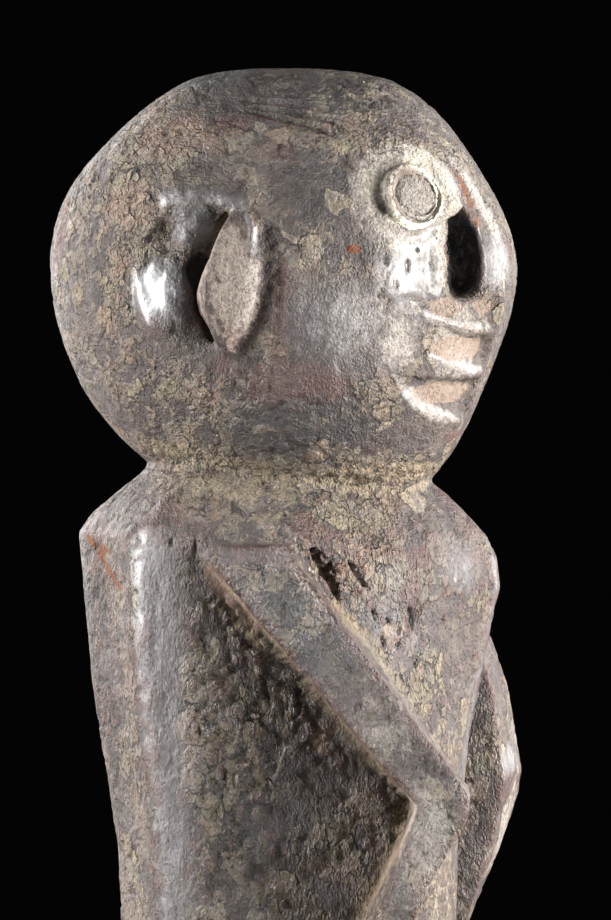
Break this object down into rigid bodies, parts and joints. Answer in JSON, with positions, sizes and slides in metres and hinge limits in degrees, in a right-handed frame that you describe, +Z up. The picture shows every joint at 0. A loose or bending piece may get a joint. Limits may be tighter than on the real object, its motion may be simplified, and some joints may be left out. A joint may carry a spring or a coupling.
{
  "type": "anthropomorphic statuette",
  "caption": "Carved wooden standing figure with a ball-shaped head, ring eyes, slotted nose, leaf ears and bent arms in relief, on a low base of the same block.",
  "frame": {"origin": "centre of the base's underside, which is the bottom centre of the bounding box", "axes": "+Z up along the figure's height; the figure faces -Y, so its right side is at -X"},
  "size_m": [0.1014, 0.112, 0.3596],
  "materials": {
    "patinated_wood": "old dark wood under a cracked grey-brown crust, with tan dust in the hollows and worn, polished high places"
  },
  "bodies": {
    "root": {"statuette": "patinated_wood"}
  },
  "joints": []
}
